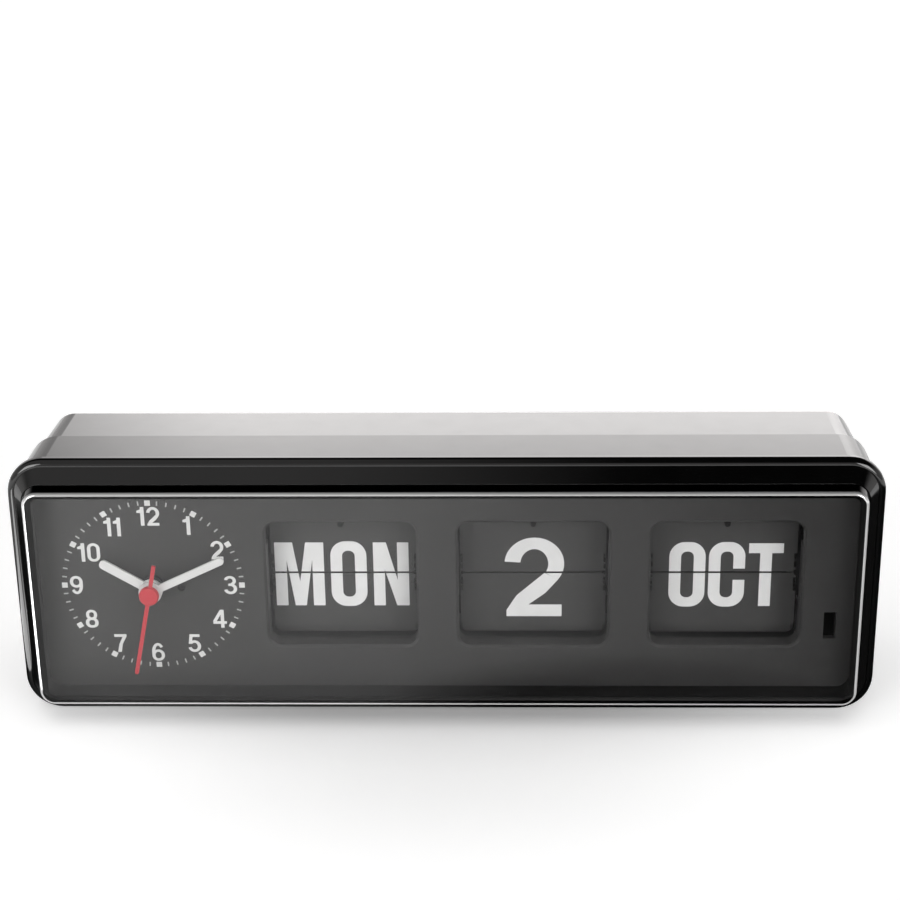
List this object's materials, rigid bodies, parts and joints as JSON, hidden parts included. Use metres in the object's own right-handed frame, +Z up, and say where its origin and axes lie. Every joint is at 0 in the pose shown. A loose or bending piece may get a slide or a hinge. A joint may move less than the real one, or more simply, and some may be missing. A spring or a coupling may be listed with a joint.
{
  "type": "flip calendar clock",
  "caption": "Desk clock with an analogue dial and a flip calendar for day, date and month behind one clear cover, in a gloss black two-shell case.",
  "frame": {"origin": "on the table, under the middle of the clock's box", "axes": "+X to the viewer's right along the width, +Y to the back, +Z up; the dial faces -Y"},
  "size_m": [0.212, 0.054, 0.0682],
  "materials": {
    "case": "high gloss black moulded plastic",
    "lens": "clear polished acrylic",
    "face": "satin dark grey panel",
    "leaf": "matt black thin sheet",
    "drum": "matt black moulding",
    "hand_white": "white lacquer",
    "hand_red": "red lacquer",
    "steel": "plain steel",
    "moulding": "dark grey engineering plastic",
    "rubber": "matt rubber",
    "cell": "plain sleeve"
  },
  "bodies": {
    "case": {"front_bezel": "case", "front_case": "case", "rear_case": "case", "lens": "lens", "face_panel": "face", "movement_screws": "steel", "case_screws": "steel", "chassis_screws": "steel", "drum_axle": "steel", "axle_clips": "steel", "wheel_retainers": "steel", "drum_detents": "steel", "leaf_catches": "steel", "battery_contacts": "steel", "movement": "moulding", "battery_tray": "moulding", "calendar_chassis": "moulding", "foot_pads": "rubber", "battery": "cell"},
    "minute_hand": {"minute_hand": "hand_white", "minute_arbor": "steel"},
    "hour_hand": {"hour_hand": "hand_white", "hour_pipe": "steel"},
    "second_hand": {"second_hand": "hand_red", "second_arbor": "steel"},
    "set_knob": {"set_knob": "case"},
    "battery_door": {"battery_door": "case"},
    "day_drum": {"day_drum": "drum", "day_leaf_pack": "leaf"},
    "day_wheel": {"day_wheel": "drum"},
    "day_upper_leaf": {"day_upper_leaf": "leaf"},
    "day_next_leaf": {"day_next_leaf": "leaf"},
    "day_lower_leaf": {"day_lower_leaf": "leaf"},
    "date_drum": {"date_drum": "drum", "date_leaf_pack": "leaf"},
    "date_wheel": {"date_wheel": "drum"},
    "date_upper_leaf": {"date_upper_leaf": "leaf"},
    "date_next_leaf": {"date_next_leaf": "leaf"},
    "date_lower_leaf": {"date_lower_leaf": "leaf"},
    "month_drum": {"month_drum": "drum", "month_leaf_pack": "leaf"},
    "month_wheel": {"month_wheel": "drum"},
    "month_upper_leaf": {"month_upper_leaf": "leaf"},
    "month_next_leaf": {"month_next_leaf": "leaf"},
    "month_lower_leaf": {"month_lower_leaf": "leaf"}
  },
  "joints": [
    {"name": "minute_turn", "type": "hinge", "parent": "case", "child": "minute_hand", "pos_m": [-0.0722, -0.01678, 0.0344], "axis": [0, 1, 0], "continuous": true},
    {"name": "hour_turn", "type": "hinge", "parent": "case", "child": "hour_hand", "pos_m": [-0.0722, -0.01678, 0.0344], "axis": [0, 1, 0], "continuous": true},
    {"name": "second_turn", "type": "hinge", "parent": "case", "child": "second_hand", "pos_m": [-0.0722, -0.01678, 0.0344], "axis": [0, 1, 0], "continuous": true},
    {"name": "set_knob_turn", "type": "hinge", "parent": "case", "child": "set_knob", "pos_m": [-0.0722, -0.01678, 0.0474], "axis": [0, 1, 0], "continuous": true},
    {"name": "day_advance", "type": "hinge", "parent": "case", "child": "day_drum", "pos_m": [-0.0255, -0.00128, 0.0344], "axis": [1, 0, 0], "range_deg": [0, 12.86]},
    {"name": "day_upper_leaf_fall", "type": "hinge", "parent": "day_drum", "child": "day_upper_leaf", "pos_m": [-0.0255, -0.00923, 0.0353], "axis": [1, 0, 0], "range_deg": [0, 167.15]},
    {"name": "day_next_leaf_stand", "type": "hinge", "parent": "day_drum", "child": "day_next_leaf", "pos_m": [-0.0255, -0.00883, 0.03704], "axis": [1, 0, 0], "range_deg": [-12.87, 0]},
    {"name": "day_lower_leaf_hang", "type": "hinge", "parent": "day_drum", "child": "day_lower_leaf", "pos_m": [-0.0255, -0.00923, 0.0335], "axis": [1, 0, 0], "range_deg": [-12.87, 0]},
    {"name": "day_wheel_turn", "type": "hinge", "parent": "case", "child": "day_wheel", "pos_m": [-0.0065, 0.01678, 0.0344], "axis": [1, 0, 0], "range_deg": [-13.75, 0]},
    {"name": "date_advance", "type": "hinge", "parent": "case", "child": "date_drum", "pos_m": [0.02165, -0.00128, 0.0344], "axis": [1, 0, 0], "range_deg": [0, 11.61]},
    {"name": "date_upper_leaf_fall", "type": "hinge", "parent": "date_drum", "child": "date_upper_leaf", "pos_m": [0.02165, -0.00923, 0.03521], "axis": [1, 0, 0], "range_deg": [0, 168.4]},
    {"name": "date_next_leaf_stand", "type": "hinge", "parent": "date_drum", "child": "date_next_leaf", "pos_m": [0.02165, -0.00891, 0.0368], "axis": [1, 0, 0], "range_deg": [-11.62, 0]},
    {"name": "date_lower_leaf_hang", "type": "hinge", "parent": "date_drum", "child": "date_lower_leaf", "pos_m": [0.02165, -0.00923, 0.03359], "axis": [1, 0, 0], "range_deg": [-11.62, 0]},
    {"name": "date_wheel_turn", "type": "hinge", "parent": "case", "child": "date_wheel", "pos_m": [0.04065, 0.01678, 0.0344], "axis": [1, 0, 0], "range_deg": [-12.42, 0]},
    {"name": "month_advance", "type": "hinge", "parent": "case", "child": "month_drum", "pos_m": [0.0688, -0.00128, 0.0344], "axis": [1, 0, 0], "range_deg": [0, 15]},
    {"name": "month_upper_leaf_fall", "type": "hinge", "parent": "month_drum", "child": "month_upper_leaf", "pos_m": [0.0688, -0.00921, 0.03544], "axis": [1, 0, 0], "range_deg": [0, 165.01]},
    {"name": "month_next_leaf_stand", "type": "hinge", "parent": "month_drum", "child": "month_next_leaf", "pos_m": [0.0688, -0.00867, 0.03746], "axis": [1, 0, 0], "range_deg": [-15.01, 0]},
    {"name": "month_lower_leaf_hang", "type": "hinge", "parent": "month_drum", "child": "month_lower_leaf", "pos_m": [0.0688, -0.00921, 0.03336], "axis": [1, 0, 0], "range_deg": [-15.01, 0]},
    {"name": "month_wheel_turn", "type": "hinge", "parent": "case", "child": "month_wheel", "pos_m": [0.0878, 0.01678, 0.0344], "axis": [1, 0, 0], "range_deg": [-16.04, 0]},
    {"name": "battery_door_slide", "type": "slide", "parent": "case", "child": "battery_door", "axis": [0, 1, 0], "range_m": [0, 0.025]}
  ],
  "couplings": [
    {"joint": "hour_turn", "follows": "minute_turn", "ratio": 0.083333},
    {"joint": "second_turn", "follows": "minute_turn", "ratio": 60},
    {"joint": "set_knob_turn", "follows": "minute_turn", "ratio": -1},
    {"joint": "day_upper_leaf_fall", "follows": "day_advance", "ratio": 13},
    {"joint": "day_next_leaf_stand", "follows": "day_advance", "ratio": -1},
    {"joint": "day_lower_leaf_hang", "follows": "day_advance", "ratio": -1},
    {"joint": "day_wheel_turn", "follows": "day_advance", "ratio": -1.069},
    {"joint": "date_upper_leaf_fall", "follows": "date_advance", "ratio": 14.5},
    {"joint": "date_next_leaf_stand", "follows": "date_advance", "ratio": -1},
    {"joint": "date_lower_leaf_hang", "follows": "date_advance", "ratio": -1},
    {"joint": "date_wheel_turn", "follows": "date_advance", "ratio": -1.069},
    {"joint": "month_upper_leaf_fall", "follows": "month_advance", "ratio": 11},
    {"joint": "month_next_leaf_stand", "follows": "month_advance", "ratio": -1},
    {"joint": "month_lower_leaf_hang", "follows": "month_advance", "ratio": -1},
    {"joint": "month_wheel_turn", "follows": "month_advance", "ratio": -1.069}
  ]
}
